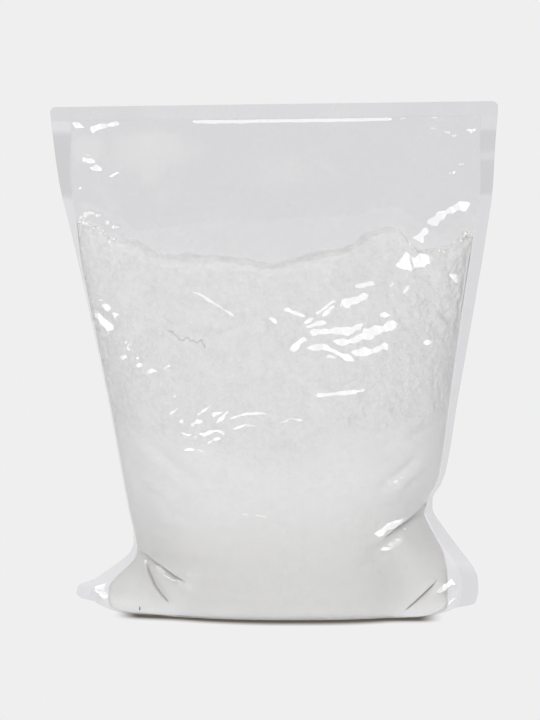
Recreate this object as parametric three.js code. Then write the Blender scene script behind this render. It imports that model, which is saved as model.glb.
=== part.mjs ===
// A clear heat-sealed pouch of powdered sugar, standing on its own flattened base.
// Millimetres. Z is up, the front of the pouch faces -Y, and the origin is on the floor under its middle.
//
// The pouch is two equal sheets, welded together down both sides and across the top. Filled, it bulges
// in front and behind, its sides draw in towards a tucked waist, and below the waist the bottom corners
// stick out as two flat ears. The sheets are laid here as two grids of the same rows and columns. A row
// is named by the height of its middle: rows below zero run in under the base, where the sheets meet.

import * as THREE from "three";

// Driving dimensions.
const POUCH_WIDTH = 220; // flat width, which the empty top still has
const STANDING_HEIGHT = 250.6; // floor to the middle of the top edge
const SEAL_WIDTH = 10; // the weld across the top and down the left side
const RIGHT_SEAL_WIDTH = 8.6; // the weld down the right side, a little narrower
const SEAL_THICKNESS = 1; // drawn thicker than the real pair of films
const CORNER_RADIUS = 3; // rounded top corners of the pouch
const BASE_REACH = 38; // how far the base runs forward and back from its middle
const BELLY_REACH = 43.5; // how far the fullest part stands forward and back
const TOP_TILT = 1.5; // the top edge's right end stands this much higher than its middle
const FLAT_SHARE = 0.55; // this share of each half of the base is flat on the floor
const EAR_RISE = 4; // the power with which the base then turns up to the ear's tip
const EDGE_RAISE = 1.2; // how far the base's front and back edges stand above the floor
const EDGE_RUN = 12; // and how far from those edges the base lies flat
const LEAN_FROM = 0.55; // share of each half of the sheet past which the ears lean forward

const HALF_WIDTH = POUCH_WIDTH / 2;
const HALF_SEAL = SEAL_THICKNESS / 2;
const SEAL_LINE = STANDING_HEIGHT - SEAL_WIDTH; // height at which the top weld begins

// Outer edge of each side weld, from the bottom corner of the pouch to the top one, as [row, distance
// from the middle, height, degrees by which the weld is turned back, lean of the corner ear forward].
const LEFT_EDGE = [
  [-BASE_REACH, 95.4, 6.6, 50, 17], [-14, 98, 9, 42, 14], [-4, 97, 12.6, 38, 12], [3, 89.5, 15.2, 42, 10],
  [10, 83.8, 18.4, 50, 7], [17, 77.2, 22.6, 60, 4], [24, 71.9, 27.2, 72, 2], [30, 70.3, 31.6, 80, 0.8],
  [38, 70.8, 38.5, 84, 0], [46, 72.5, 46, 84, 0], [65, 76, 65, 84, 0], [101, 82.3, 101, 84, 0],
  [149, 92, 149, 82, 0], [173, 97.2, 173, 79, 0], [190, 101, 190, 67, 0], [208, 105.2, 208, 52, 0],
  [220, 107.1, 220, 43, 0], [232, 108.4, 232, 26, 0], [SEAL_LINE, 109.3, SEAL_LINE, 0, 0],
  [STANDING_HEIGHT, HALF_WIDTH, STANDING_HEIGHT, 0, 0],
];
const RIGHT_EDGE = [
  [-BASE_REACH, 96.8, 4, 40, 20], [-20, 99.2, 5.4, 28, 19], [-8, 100.4, 9, 20, 18], [0, 100.8, 12.8, 15, 17],
  [10, 100.4, 18, 14, 15], [20, 98, 23.6, 18, 12], [29, 93.2, 29.6, 28, 9], [42, 83.4, 42, 48, 4],
  [49, 79.2, 49, 62, 2], [54, 79.4, 54, 70, 0.8], [61, 83.6, 61, 70, 0], [68, 86, 68, 68, 0],
  [101, 91.3, 101, 61, 0], [149, 99.3, 149, 47, 0], [185, 105, 185, 42, 0], [208, 108, 208, 36, 0],
  [232, 109, 232, 16, 0], [SEAL_LINE, 109.6, SEAL_LINE, 0, 0],
  [STANDING_HEIGHT, HALF_WIDTH, STANDING_HEIGHT, 0, 0],
];
// How far the middle of either sheet stands from the plane of the welds, as [row, distance].
const REACH = [
  [-BASE_REACH, HALF_SEAL], [0, BASE_REACH], [0.8, 39.4], [3, 40.6], [7, 41.8], [13, 42.8],
  [28, BELLY_REACH], [50, 43], [75, 40.6], [100, 36.8], [125, 31.8], [150, 25.6], [170, 20],
  [190, 14.4], [210, 9.6], [225, 6.2], [235, 3.8], [SEAL_LINE - 1.5, 2], [SEAL_LINE, HALF_SEAL],
  [STANDING_HEIGHT, HALF_SEAL],
];
// The cross-section is (1 - |s|^fullness)^edge of the reach, where s runs from -1 at the left weld to
// 1 at the right one: a low edge value gives a round side. As [row, fullness, edge].
const LEFT_SECTION = [
  [0, 1.85, 0.65], [14, 2.2, 0.78], [24, 2.6, 0.82], [34, 2.6, 0.64], [60, 2.4, 0.5], [130, 2.3, 0.5],
  [180, 2.2, 0.58], [SEAL_LINE, 2.6, 0.8],
];
const RIGHT_SECTION = [
  [0, 3, 0.75], [10, 3.5, 1.1], [20, 3.8, 1.3], [32, 3.6, 1.2], [44, 3.2, 0.9], [55, 2.7, 0.64],
  [75, 2.4, 0.5], [130, 2.3, 0.5], [180, 2.2, 0.58], [SEAL_LINE, 2.6, 0.8],
];

// Folds at the waist, each from the side weld to where it dies out, as [x, z] seen from the front.
// The sheet above a fold hangs over it by lip, and the sheet below starts depth further in.
const FRONT_FOLDS = [
  { from: [77, 60.5], to: [48, 39.5], depth: 5, lip: 1.8, width: 6 },
  { from: [-67, 32.5], to: [-39, 20], depth: 4, lip: 1.4, width: 6 },
];
const BACK_FOLDS = [
  { from: [77, 60.5], to: [52, 42], depth: 4.5, lip: 1.8, width: 6 },
  { from: [-67, 32.5], to: [-42, 21], depth: 4, lip: 1.4, width: 6 },
];
const GROOVE_ABOVE = 1.5; // a fold closes quickly on the side that hangs over
const GROOVE_BELOW = 0.7; // and slowly on the side below
const FOLD_FADE = 0.3; // share of its length by which a fold runs on past the weld
const FOLD_NEEDS = 12; // a sheet that stands out less than this folds less

// How closely the grids are drawn.
const SHEET_COLUMNS = 40; // between the side welds
const WELD_COLUMNS = 2; // across each side weld
const FOLD_ROW_STEP = 3;
const BODY_ROW_STEP = 8;
const CORNER_ROWS = [1, 0.45, 0.15, 0]; // shares of the corner radius, down from the top edge

// A smooth curve through stations [row, value, ...] that never overshoots them.
function along(stations, row, column = 1) {
  const last = stations.length - 1;
  if (row <= stations[0][0]) return stations[0][column];
  if (row >= stations[last][0]) return stations[last][column];
  let i = 0;
  while (row > stations[i + 1][0]) i++;
  const span = (k) => stations[k + 1][0] - stations[k][0];
  const slope = (k) => (stations[k + 1][column] - stations[k][column]) / span(k);
  const tangent = (k) => {
    if (k === 0) return slope(0);
    if (k === last) return slope(last - 1);
    const [before, after] = [slope(k - 1), slope(k)];
    return before * after <= 0 ? 0 : (2 * before * after) / (before + after);
  };
  const t = (row - stations[i][0]) / span(i);
  const [from, to] = [stations[i][column], stations[i + 1][column]];
  return (
    from * (1 + 2 * t) * (1 - t) ** 2 +
    span(i) * tangent(i) * t * (1 - t) ** 2 +
    to * t * t * (3 - 2 * t) +
    span(i) * tangent(i + 1) * t * t * (t - 1)
  );
}

// The distance by which the round top corners take the outer edge in, near the top edge.
function cornerCut(row) {
  const up = row - (STANDING_HEIGHT - CORNER_RADIUS);
  return up <= 0 ? 0 : CORNER_RADIUS - Math.sqrt(Math.max(0, CORNER_RADIUS ** 2 - up ** 2));
}

// One side's weld at a row: where its seam is, its height and lean, and how far it runs across and back.
function weldAt(edge, width, row) {
  const turn = THREE.MathUtils.degToRad(along(edge, row, 3));
  const across = width * Math.cos(turn);
  return {
    seam: along(edge, row, 1) - across,
    height: along(edge, row, 2),
    lean: along(edge, row, 4),
    across: across - cornerCut(row),
    back: width * Math.sin(turn),
  };
}

// How far the folds move the sheet out of its smooth form at a place seen from the front.
function foldedOut(folds, x, z) {
  let out = 0;
  for (const { from, to, depth, lip, width } of folds) {
    const run = new THREE.Vector2(to[0] - from[0], to[1] - from[1]);
    const at = new THREE.Vector2(x - from[0], z - from[1]);
    const t = at.dot(run) / run.lengthSq();
    if (t < -FOLD_FADE || t > 1) continue;
    const share = ((at.x * run.y - at.y * run.x) * -Math.sign(run.x)) / run.length() / width;
    const strength = t < 0 ? 1 + t / FOLD_FADE : 1 - t * t;
    const spread = share > 0 ? GROOVE_ABOVE : GROOVE_BELOW;
    const groove = depth * Math.exp(-((spread * share) ** 2));
    const bulge = share > 0 ? lip * share * Math.exp(1 - share) : 0;
    out += strength * (bulge - groove);
  }
  return out;
}

// A point of a sheet between the welds. across runs from -1 at the left weld to 1 at the right one.
function sheetPoint(row, left, right, across, front) {
  const s = Math.sin((across * Math.PI) / 2);
  const [weld, sections] = s < 0 ? [left, LEFT_SECTION] : [right, RIGHT_SECTION];
  const x = (right.seam - left.seam) / 2 + ((right.seam + left.seam) / 2) * s;
  const rise = (Math.max(0, Math.abs(s) - FLAT_SHARE) / (1 - FLAT_SHARE)) ** EAR_RISE;
  const floor = Math.max(0, row) + EDGE_RAISE * Math.max(0, 1 - Math.abs(row) / EDGE_RUN) ** 2;
  const z = floor + (weld.height - floor) * rise;
  const share = (1 - Math.abs(s) ** along(sections, row, 1)) ** along(sections, row, 2);
  const smooth = (along(REACH, row) - HALF_SEAL) * share;
  const fold = row > 0 && row < SEAL_LINE ? foldedOut(front ? FRONT_FOLDS : BACK_FOLDS, x, z) : 0;
  const out = HALF_SEAL + Math.max(0, smooth + fold * Math.min(1, smooth / FOLD_NEEDS));
  const lean = weld.lean * THREE.MathUtils.smoothstep(Math.abs(s), LEAN_FROM, 1);
  return new THREE.Vector3(x, (front ? -out : out) - lean, z);
}

// A point of a side weld. outward runs from 0 at the seam to 1 at the outer edge.
function weldPoint(weld, side, outward, front) {
  const run = new THREE.Vector2(side * weld.across, weld.back).normalize();
  const skin = HALF_SEAL * (front ? side : -side);
  return new THREE.Vector3(
    side * (weld.seam + weld.across * outward) + run.y * skin,
    weld.back * outward - run.x * skin - weld.lean,
    weld.height,
  );
}

// The rows: close together round the base's edge, the folds and the top weld.
function rowHeights() {
  const rows = [-BASE_REACH, -26, -18, -12, -8, -4, -1.5, 0, 0.8, 3, 5.5];
  for (let row = 8.5; row < 70; row += FOLD_ROW_STEP) rows.push(row);
  for (let row = 73; row < 232; row += BODY_ROW_STEP) rows.push(row);
  rows.push(235, SEAL_LINE - 3, SEAL_LINE - 1.2, SEAL_LINE);
  for (const share of CORNER_ROWS) rows.push(STANDING_HEIGHT - share * CORNER_RADIUS);
  return rows;
}

// One sheet as rows of points, from the left weld's outer edge to the right weld's.
function sheetGrid(front) {
  return rowHeights().map((row) => {
    const left = weldAt(LEFT_EDGE, SEAL_WIDTH, row);
    const right = weldAt(RIGHT_EDGE, RIGHT_SEAL_WIDTH, row);
    const points = [];
    for (let i = WELD_COLUMNS; i >= 0; i--) points.push(weldPoint(left, -1, i / WELD_COLUMNS, front));
    for (let i = 1; i < SHEET_COLUMNS; i++) {
      points.push(sheetPoint(row, left, right, (2 * i) / SHEET_COLUMNS - 1, front));
    }
    for (let i = 0; i <= WELD_COLUMNS; i++) points.push(weldPoint(right, 1, i / WELD_COLUMNS, front));
    return points;
  });
}

// Both sheets and the thin strips that close the four edges between them.
function pouchGeometry() {
  const sheets = [sheetGrid(true), sheetGrid(false)];
  const rows = sheets[0].length;
  const columns = sheets[0][0].length;
  const tilted = (p) => p.z + (TOP_TILT * p.x * p.z) / (HALF_WIDTH * STANDING_HEIGHT);
  const positions = sheets.flat(2).flatMap((p) => [p.x, p.y, tilted(p)]);
  const at = (sheet, row, column) => (sheet * rows + row) * columns + column;
  const indices = [];
  const quad = (a, b, c, d) => indices.push(a, b, c, a, c, d);
  const [top, right] = [rows - 1, columns - 1];
  for (let r = 0; r < top; r++) {
    for (let c = 0; c < right; c++) {
      quad(at(0, r, c), at(0, r, c + 1), at(0, r + 1, c + 1), at(0, r + 1, c));
      quad(at(1, r, c + 1), at(1, r, c), at(1, r + 1, c), at(1, r + 1, c + 1));
    }
    quad(at(0, r, 0), at(0, r + 1, 0), at(1, r + 1, 0), at(1, r, 0));
    quad(at(0, r + 1, right), at(0, r, right), at(1, r, right), at(1, r + 1, right));
  }
  for (let c = 0; c < right; c++) {
    quad(at(0, top, c), at(0, top, c + 1), at(1, top, c + 1), at(1, top, c));
    quad(at(0, 0, c + 1), at(0, 0, c), at(1, 0, c), at(1, 0, c + 1));
  }
  const geometry = new THREE.BufferGeometry();
  geometry.setAttribute("position", new THREE.Float32BufferAttribute(positions, 3));
  geometry.setIndex(indices);
  geometry.computeVertexNormals();
  return geometry;
}

const sugar = new THREE.MeshStandardMaterial({
  name: "sugar_in_film",
  color: 0xdededc,
  roughness: 0.35,
  metalness: 0,
});
const bag = new THREE.Mesh(pouchGeometry(), sugar);
bag.name = "sugar_bag";

const pouch = new THREE.Group();
pouch.add(bag);

export default pouch;
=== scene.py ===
"""A clear heat-sealed pouch of powdered sugar, standing on its own flattened base.

The CAD solid is one closed body. Here it is replaced by what the real pouch is made of: a thin clear film,
the powder inside it, crumbs along the top of the powder, and a speck of dirt. Shapes are in millimetres up
to Piece.to_object(), which makes them metres. Z is up and the front faces -Y. A place "in the photograph"
is in pixels of its 540 x 720 frame, x to the right and y down.

Three arrays name a place on the pouch. across runs from -1 at the left seam to 1 at the right one, and on
past them over the welds. row is the height of the middle of a level line; rows below zero run in under the
base, where the sheets meet. back is -1 on the front sheet and 1 on the back one.
"""

import logging
import math
import random
from collections.abc import Callable, Sequence
from dataclasses import dataclass
from enum import Enum
from functools import partial
from typing import Any

import bmesh
import bpy
import numpy as np
from mathutils import Matrix, Vector, noise

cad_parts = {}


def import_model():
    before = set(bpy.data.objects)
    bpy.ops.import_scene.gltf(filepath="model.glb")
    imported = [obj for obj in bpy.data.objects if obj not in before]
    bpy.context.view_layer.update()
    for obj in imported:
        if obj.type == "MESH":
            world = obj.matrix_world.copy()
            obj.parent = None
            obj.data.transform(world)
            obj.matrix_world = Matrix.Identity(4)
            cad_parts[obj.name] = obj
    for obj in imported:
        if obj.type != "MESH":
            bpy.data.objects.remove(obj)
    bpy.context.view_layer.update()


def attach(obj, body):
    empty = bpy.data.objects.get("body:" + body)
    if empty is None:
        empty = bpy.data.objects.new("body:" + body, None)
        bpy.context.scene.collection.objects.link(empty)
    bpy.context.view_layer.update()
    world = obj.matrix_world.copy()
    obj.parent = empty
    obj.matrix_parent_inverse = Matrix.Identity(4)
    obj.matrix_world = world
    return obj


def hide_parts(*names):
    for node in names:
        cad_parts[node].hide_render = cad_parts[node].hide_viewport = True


LOG = logging.getLogger("sugar_bag")
Array = np.ndarray
Point = tuple[float, float]
Colour = tuple[float, float, float]

MM = 0.001
CAD_NODE = "sugar_bag"
BODY = "root"
WHITE = (1.0, 1.0, 1.0, 1.0)

# Driving dimensions of the pouch, in millimetres.
HALF_WIDTH = 110.0
STANDING_HEIGHT = 250.6
TOP_SEAL_WIDTH = 7.5
SEAL_WIDTHS = {-1: 10.0, 1: 8.6}  # of the left and right side welds
CORNER_RADIUS = 3.0
BASE_REACH = 38.0
BELLY_REACH = 43.5
TOP_TILT = 1.5
FLAT_SHARE = 0.55  # how much of each half of the sheet is level in the middle
EAR_RISE = 4.0
EDGE_RAISE = 1.2  # how far the base's front and back edges stand above the floor
SEAL_LINE = STANDING_HEIGHT - TOP_SEAL_WIDTH

FLANK_ROUNDING = 1.65  # a crease's flank is this much wider than its glint, since its edges are rounded
FILM_HALF = 0.12  # half of the thickness of two welded films
EAR_DULLNESS = 0.95  # how much of the welds' dullness the film of the bottom ears has
WELD_SHARE = 0.1  # how far the welds reach past -1 and 1 in across


class Facing(Enum):
    """Where the bright flank of a crease faces, as a direction in the photograph."""

    UP = (0.0, -1.0)
    LEFT = (-1.0, 0.0)
    RIGHT = (1.0, 0.0)


# ---------------------------------------------------------------- curves and views


def ramp(value: Array, start: float, end: float) -> Array:
    """0 up to start, 1 past end and straight between them; end may be the smaller."""
    return np.clip((value - start) / (end - start), 0, 1)


def smooth(value: Array) -> Array:
    """A smooth step from 0 at 0 to 1 at 1."""
    t = np.clip(value, 0, 1)
    return t * t * (3 - 2 * t)


@dataclass(frozen=True)
class Stations:
    """A smooth curve through stations (place, value, ...) that never overshoots them."""

    rows: tuple[tuple[float, ...], ...]

    def at(self, place: Array, column: int = 1) -> Array:
        """Values of one column of the stations.

        Args:
            place: where along the curve, an array of any shape.
            column: which column of the stations to follow.

        Returns:
            An array of the same shape as place.
        """
        table = np.array(self.rows, float)
        x, y = table[:, 0], table[:, column]
        step = np.diff(x)
        slope = np.diff(y) / step
        before, after = slope[:-1], slope[1:]
        product = before * after
        total = np.where(product > 0, before + after, 1.0)
        inner = np.where(product > 0, 2 * product / total, 0.0)
        tangent = np.concatenate([slope[:1], inner, slope[-1:]])
        p = np.clip(np.asarray(place, float), x[0], x[-1])
        i = np.clip(np.searchsorted(x, p, side="right") - 1, 0, len(step) - 1)
        t = (p - x[i]) / step[i]
        return (
            y[i] * (1 + 2 * t) * (1 - t) ** 2
            + step[i] * tangent[i] * t * (1 - t) ** 2
            + y[i + 1] * t * t * (3 - 2 * t)
            + step[i] * tangent[i + 1] * t * t * (t - 1)
        )


@dataclass(frozen=True)
class PhotoView:
    """The photograph's camera, which also turns places on the pouch into places in the photograph."""

    elevation: float = 6.0  # degrees that the camera looks down
    distance: float = 1400.0
    target: tuple[float, float, float] = (-1.95, 0.0, 124.4)
    frame_height: float = 356.4  # what the picture's height spans at the target
    pixels: tuple[int, int] = (540, 720)
    sensor: float = 36.0

    @property
    def axes(self) -> tuple[Array, Array, Array]:
        """Unit vectors to the right, up and forward of the camera."""
        e = math.radians(self.elevation)
        up = np.array([0.0, math.sin(e), math.cos(e)])
        return np.array([1.0, 0.0, 0.0]), up, np.array([0.0, math.cos(e), -math.sin(e)])

    @property
    def place(self) -> Array:
        """Where the camera stands."""
        return np.array(self.target) - self.axes[2] * self.distance

    def seen(self, points: Array) -> Array:
        """Where points show in the photograph.

        Args:
            points: an (n, 3) array.

        Returns:
            An (n, 2) array of pixels.
        """
        right, up, ahead = self.axes
        offset = points - self.place
        scale = self.distance / (offset @ ahead) / PIXEL
        across = self.pixels[0] / 2 + (offset @ right) * scale
        return np.stack([across, self.pixels[1] / 2 - (offset @ up) * scale], axis=1)

    def make_camera(self) -> None:
        """Makes the scene's camera at the photograph's place and angle."""
        data = bpy.data.cameras.new("camera")
        data.sensor_width = self.sensor
        data.lens = self.sensor * self.distance / self.frame_height
        data.clip_start, data.clip_end = 0.05, 20.0
        camera = bpy.data.objects.new("camera", data)
        camera.location = Vector(self.place * MM)
        camera.rotation_euler = Vector(self.axes[2]).to_track_quat("-Z", "Y").to_euler()
        bpy.context.scene.collection.objects.link(camera)
        bpy.context.scene.camera = camera


PHOTO = PhotoView()
PIXEL = PHOTO.frame_height / PHOTO.pixels[1]  # millimetres in a pixel at the target


def seen_on_front(points: Array, back: Array | float, turned: bool = False) -> Array:
    """Where points show in the photograph once those of the back sheet are moved to the front.

    Args:
        points: an (n, 3) array.
        back: which sheet each point is on.
        turned: turn the back sheet about, and don't mirror it so that its folds meet the front's.

    Returns:
        An (n, 2) array of pixels.
    """
    side = np.broadcast_to(-np.asarray(back, float), (len(points),))
    same = np.ones(len(points))
    return PHOTO.seen(points * np.stack([side if turned else same, side, same], axis=1))


def noise_at(points: Array, size: float, seed: float = 0.0) -> Array:
    """Smooth noise over points.

    Args:
        points: an (n, 3) array.
        size: how large the noise's features are.
        seed: another number gives another pattern.

    Returns:
        n values from about -1 to 1.
    """
    shifted = points / size + np.array([seed, 2.7 * seed, -1.3 * seed])
    return np.array([noise.noise(Vector(p)) for p in shifted])


# ---------------------------------------------------------------- the pouch's form


@dataclass(frozen=True)
class PouchForm:
    """The filled pouch as two sheets of the same rows and columns."""

    inset: float = 0.0  # how far inside the film this form lies

    # Outer edge of each side weld, from the bottom corner to the top one, as (row, distance from the
    # middle, height, degrees by which the weld is turned back, lean of the corner ear forward).
    LEFT_EDGE = Stations(
        (
            (-BASE_REACH, 95.4, 6.6, 50, 17), (-14, 98, 9, 42, 14), (-4, 97, 12.6, 38, 12),
            (3, 89.5, 15.2, 42, 10), (10, 83.8, 18.4, 50, 7), (17, 77.2, 22.6, 60, 4),
            (24, 71.9, 27.2, 72, 2), (30, 70.3, 31.6, 80, 0.8), (38, 70.8, 38.5, 84, 0),
            (46, 72.5, 46, 84, 0), (65, 76, 65, 84, 0), (101, 82.3, 101, 84, 0),
            (149, 92, 149, 82, 0), (173, 97.2, 173, 79, 0), (190, 101, 190, 67, 0),
            (208, 105.2, 208, 52, 0), (220, 107.1, 220, 43, 0), (232, 108.4, 232, 26, 0),
            (SEAL_LINE, 109.3, SEAL_LINE, 0, 0), (STANDING_HEIGHT, HALF_WIDTH, STANDING_HEIGHT, 0, 0),
        )
    )  # fmt: skip
    RIGHT_EDGE = Stations(
        (
            (-BASE_REACH, 96.8, 4, 40, 20), (-20, 99.2, 5.4, 28, 20), (-8, 100.4, 9, 20, 19),
            (0, 100.8, 12.8, 15, 19), (10, 100.4, 18, 14, 18.5), (20, 98, 23.6, 18, 17.5),
            (29, 93.2, 29.6, 28, 14), (42, 83.4, 42, 48, 6), (49, 79.2, 49, 62, 2.5), (54, 79.4, 54, 70, 1),
            (61, 83.6, 61, 70, 0), (68, 86, 68, 68, 0), (101, 91.3, 101, 61, 0), (149, 99.3, 149, 47, 0),
            (185, 105, 185, 42, 0), (208, 108, 208, 36, 0), (232, 109, 232, 16, 0),
            (SEAL_LINE, 109.6, SEAL_LINE, 0, 0), (STANDING_HEIGHT, HALF_WIDTH, STANDING_HEIGHT, 0, 0),
        )
    )  # fmt: skip
    REACH = Stations(
        (
            (-BASE_REACH, FILM_HALF), (0, BASE_REACH), (0.8, 39.4), (3, 40.6), (7, 41.8),
            (13, 42.8), (28, BELLY_REACH), (50, 43), (75, 40.6), (100, 36.8), (125, 31.8),
            (150, 25.6), (170, 20),
            (190, 14.4), (210, 9), (225, 4.8), (233, 2.6), (239, 1.1),
            (SEAL_LINE, FILM_HALF), (STANDING_HEIGHT, FILM_HALF),
        )
    )  # fmt: skip
    LEFT_SECTION = Stations(
        (
            (0, 1.85, 0.65), (14, 2.2, 0.78), (24, 2.6, 0.82), (34, 2.6, 0.64), (60, 2.4, 0.5),
            (130, 2.3, 0.5), (180, 2.2, 0.58), (SEAL_LINE, 2.6, 0.8),
        )
    )  # fmt: skip
    RIGHT_SECTION = Stations(
        (
            (0, 3, 0.75), (10, 3.4, 1.25), (20, 3.4, 1.5), (32, 3.4, 1.3), (44, 3.2, 0.9),
            (55, 2.7, 0.64), (75, 2.4, 0.5),
            (130, 2.3, 0.5), (180, 2.2, 0.58), (SEAL_LINE, 2.6, 0.8),
        )
    )  # fmt: skip
    LEAN_FROM = 0.55  # share of each half of the sheet past which the ears lean

    def weld(self, side: int, row: Array) -> tuple[Array, Array, Array, Array]:
        """One side's weld at some rows.

        Args:
            side: -1 for the left weld and 1 for the right one.
            row: the rows.

        Returns:
            The seam's distance from the middle, the height, and the weld's run across and back.
        """
        edge = self.LEFT_EDGE if side < 0 else self.RIGHT_EDGE
        turn = np.radians(edge.at(row, 3))
        across = SEAL_WIDTHS[side] * np.cos(turn)
        up = np.maximum(0.0, row - (STANDING_HEIGHT - CORNER_RADIUS))
        cut = CORNER_RADIUS - np.sqrt(np.maximum(0.0, CORNER_RADIUS**2 - up**2))
        return edge.at(row, 1) - across, edge.at(row, 2), across - cut, SEAL_WIDTHS[side] * np.sin(turn)

    def lengths(self, count: int) -> tuple[Array, Array]:
        """The sheet's length up its middle, from the middle of the base to the top weld.

        Args:
            count: how many rows to measure at.

        Returns:
            The rows, and how far along the sheet each lies.
        """
        rows = np.linspace(-BASE_REACH, SEAL_LINE, count)
        steps = np.hypot(np.diff(self.REACH.at(rows)), np.diff(np.maximum(0, rows)))
        return rows, np.concatenate([[0], np.cumsum(steps)])

    def parting(self, row: Array) -> Array:
        """1 where the sheets lie a film's thickness apart, and 0 on the two edges where they join."""
        return np.clip(np.minimum((row + BASE_REACH) / 0.2, (STANDING_HEIGHT - row) / 4), 0, 1)

    def lean(self, s: Array, row: Array) -> Array:
        """How far the ears lean forward where the sheet's share across is s."""
        full = np.where(s < 0, self.LEFT_EDGE.at(row, 4), self.RIGHT_EDGE.at(row, 4))
        return full * smooth((np.abs(s) - self.LEAN_FROM) / (1 - self.LEAN_FROM))

    def _sheet_points(self, across: Array, row: Array, back: Array) -> Array:
        """Points between the welds.

        Args:
            across: places across.
            row: the rows.
            back: the sheets.

        Returns:
            An (n, 3) array.
        """
        s = np.sin(across * math.pi / 2)
        left, left_height, *_ = self.weld(-1, row)
        right, right_height, *_ = self.weld(1, row)
        seam_height = np.where(s < 0, left_height, right_height)
        x = (right - left) / 2 + ((right + left) / 2 - self.inset) * s
        rise = (np.maximum(0.0, np.abs(s) - FLAT_SHARE) / (1 - FLAT_SHARE)) ** EAR_RISE
        raised = EDGE_RAISE * ramp(np.abs(row), 12, 0) ** 2
        floor = np.where(row < 0, self.inset + raised, np.maximum(self.inset, row + raised))
        fullness = np.where(s < 0, self.LEFT_SECTION.at(row, 1), self.RIGHT_SECTION.at(row, 1))
        edge = np.where(s < 0, self.LEFT_SECTION.at(row, 2), self.RIGHT_SECTION.at(row, 2))
        share = np.maximum(0.0, 1 - np.abs(s) ** fullness) ** edge
        reach = np.maximum(0.0, self.REACH.at(row) - FILM_HALF - self.inset) * share
        skin = FILM_HALF * self.parting(row) if self.inset == 0 else 0.0
        y = back * (skin + reach) - self.lean(s, row)
        return np.stack([x, y, floor + (seam_height - floor) * rise], axis=1)

    def _weld_points(self, across: Array, row: Array, back: Array) -> Array:
        """Points on a side weld, whose outer edge is WELD_SHARE past -1 or 1.

        Args:
            across: places across.
            row: the rows.
            back: the sheets.

        Returns:
            An (n, 3) array.
        """
        side = np.sign(across)
        outward = (np.abs(across) - 1) / WELD_SHARE
        seam, height, run_across, run_back = (
            np.where(side < 0, a, b) for a, b in zip(self.weld(-1, row), self.weld(1, row), strict=True)
        )
        length = np.hypot(run_across, run_back)
        skin = FILM_HALF * -back * np.minimum(1.0, (1 - outward) * 3) * side * self.parting(row)
        x = side * (seam + run_across * outward) + run_back / length * skin
        y = run_back * outward - side * run_across / length * skin - self.lean(side, row)
        return np.stack([x, y, height], axis=1)

    def points(self, across: Array, row: Array, back: Array) -> Array:
        """Points of the form, with the slight tilt of the top edge.

        Args:
            across: places across.
            row: the rows.
            back: the sheets.

        Returns:
            An (n, 3) array.
        """
        inner = self._sheet_points(np.clip(across, -1, 1), row, back)
        outer = self._weld_points(across, row, back)
        points = np.where((np.abs(across) > 1)[:, None], outer, inner)
        tilt = TOP_TILT * points[:, 0] * points[:, 2] / (HALF_WIDTH * STANDING_HEIGHT)
        return points + np.stack([0 * tilt, 0 * tilt, tilt], axis=1)

    def outward(self, across: Array, row: Array, back: Array) -> Array:
        """Unit vectors out of the form.

        Args:
            across: places across.
            row: the rows.
            back: the sheets.

        Returns:
            An (n, 3) array.
        """
        step_across, step_row = 0.002, 0.2
        here = self.points(across, row, back)
        aside = np.where(np.abs(across) < 1, -np.sign(across + 1e-9), -np.sign(across))
        to_side = (self.points(across + aside * step_across, row, back) - here) * aside[:, None]
        up = np.where(row > SEAL_LINE / 2, -1.0, 1.0)
        to_top = (self.points(across, row + up * step_row, back) - here) * up[:, None]
        normal = np.cross(to_side, to_top) * -back[:, None]
        return normal / np.maximum(np.linalg.norm(normal, axis=1, keepdims=True), 1e-9)

    def sugar_rows(self, across: Array) -> Array:
        """The row at which the powder ends.

        Args:
            across: places across.

        Returns:
            The row at each place.
        """
        places, rows = np.linspace(-1, 1, 161), np.linspace(140, 225, 171)
        grid_across, grid_row = (a.ravel() for a in np.meshgrid(places, rows, indexing="ij"))
        seen = PHOTO.seen(self.points(grid_across, grid_row, np.full(len(grid_row), -1.0)))
        above = (SUGAR_LINE.at(seen[:, 0]) - seen[:, 1]).reshape(len(places), len(rows))
        return np.interp(across, places, [float(np.interp(0.0, line, rows)) for line in above])


# ---------------------------------------------------------------- lines drawn in the photograph


def beside(places: Array, line: Sequence[Point], facing: Facing = Facing.UP) -> tuple[Array, Array, float]:
    """How places in the photograph lie beside a line of straight pieces, in millimetres.

    Args:
        places: an (n, 2) array of pixels.
        line: the line's points, in pixels.
        facing: the side on which the distance counts as positive.

    Returns:
        The distance from the line, how far along the line, and its length.
    """
    corners = np.array(line, float)
    pieces = np.diff(corners, axis=0)
    lengths = np.hypot(pieces[:, 0], pieces[:, 1])
    starts = np.concatenate([[0.0], np.cumsum(lengths)])
    nearest = np.full(len(places), np.inf)
    gap = np.zeros_like(places)
    along = np.zeros(len(places))
    for corner, piece, length, start in zip(corners, pieces, lengths, starts, strict=False):
        t = np.clip(((places - corner) @ piece) / length**2, 0, 1)
        offset = places - (corner + t[:, None] * piece)
        distance = np.hypot(offset[:, 0], offset[:, 1])
        closer = distance < nearest
        nearest = np.where(closer, distance, nearest)
        gap[closer] = offset[closer]
        along = np.where(closer, start + t * length, along)
    side = np.where(gap @ np.array(facing.value) > 0, 1.0, -1.0)
    return side * nearest * PIXEL, along * PIXEL, float(starts[-1]) * PIXEL


def close_to(places: Array, lines: Sequence[tuple[Sequence[Point], float]]) -> Array:
    """Which places in the photograph are near one of some lines.

    Args:
        places: an (n, 2) array of pixels.
        lines: pairs of a line and how near to it, in millimetres.

    Returns:
        A mask of the places.
    """
    near = np.zeros(len(places), bool)
    for line, reach in lines:
        corners, margin = np.array(line), reach / PIXEL
        low, high = corners.min(axis=0) - margin, corners.max(axis=0) + margin
        box = ((places >= low) & (places <= high)).all(axis=1) & ~near
        if box.any():
            near[box] |= np.abs(beside(places[box], line)[0]) < reach
    return near


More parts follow.
